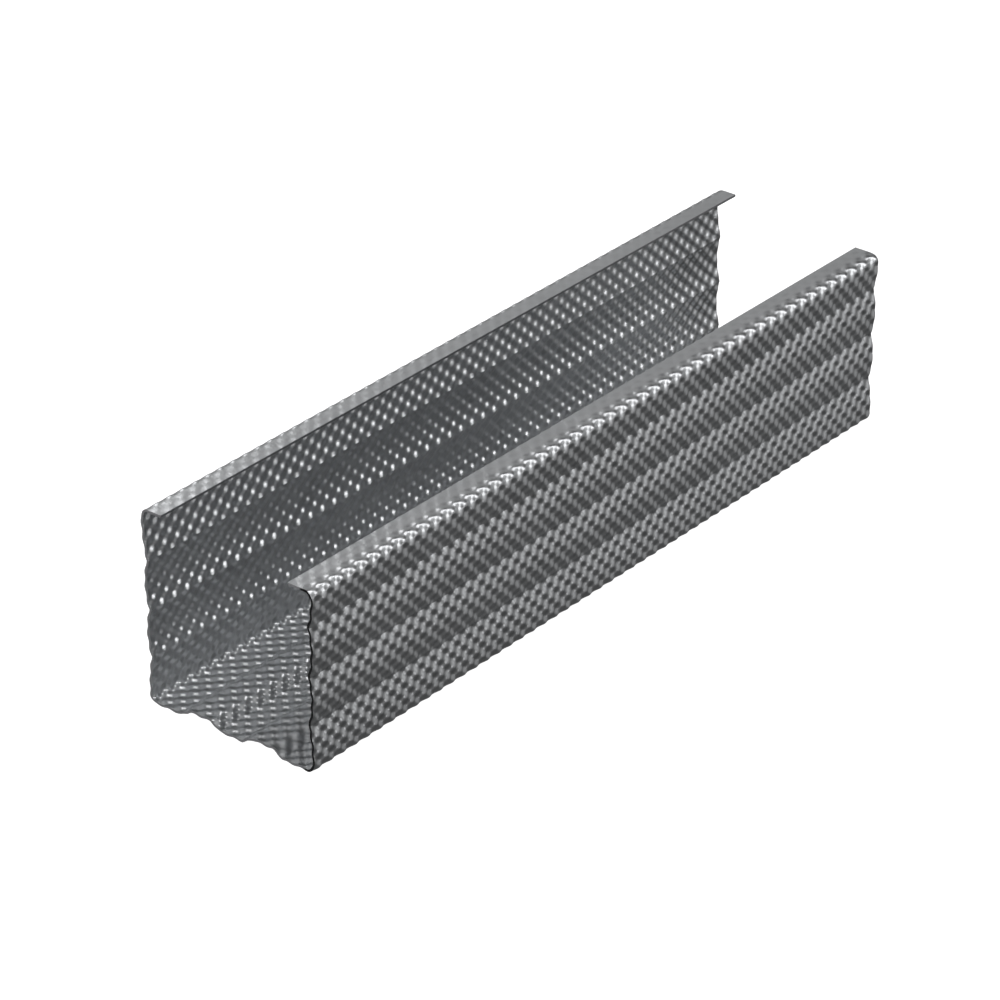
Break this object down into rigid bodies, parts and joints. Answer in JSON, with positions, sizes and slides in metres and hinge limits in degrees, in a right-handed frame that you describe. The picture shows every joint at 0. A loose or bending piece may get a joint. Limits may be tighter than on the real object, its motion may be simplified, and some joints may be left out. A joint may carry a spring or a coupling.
{
  "type": "steel stud",
  "caption": "Short length of lipped C-section wall stud, roll-formed from thin dimpled galvanised steel, with grooved flanges and a ridged web.",
  "frame": {"origin": "under the middle of the web, halfway along the stud, on the plane that the web rests on", "axes": "+X across the web towards the shorter flange, +Y along the stud, +Z from the web towards the open side"},
  "size_m": [0.0502, 0.214, 0.05],
  "materials": {
    "galvanised_sheet": "bare galvanised sheet, satin, rolled with a close pattern of shallow dimples on both faces"
  },
  "bodies": {
    "root": {"steel_stud": "galvanised_sheet"}
  },
  "joints": []
}
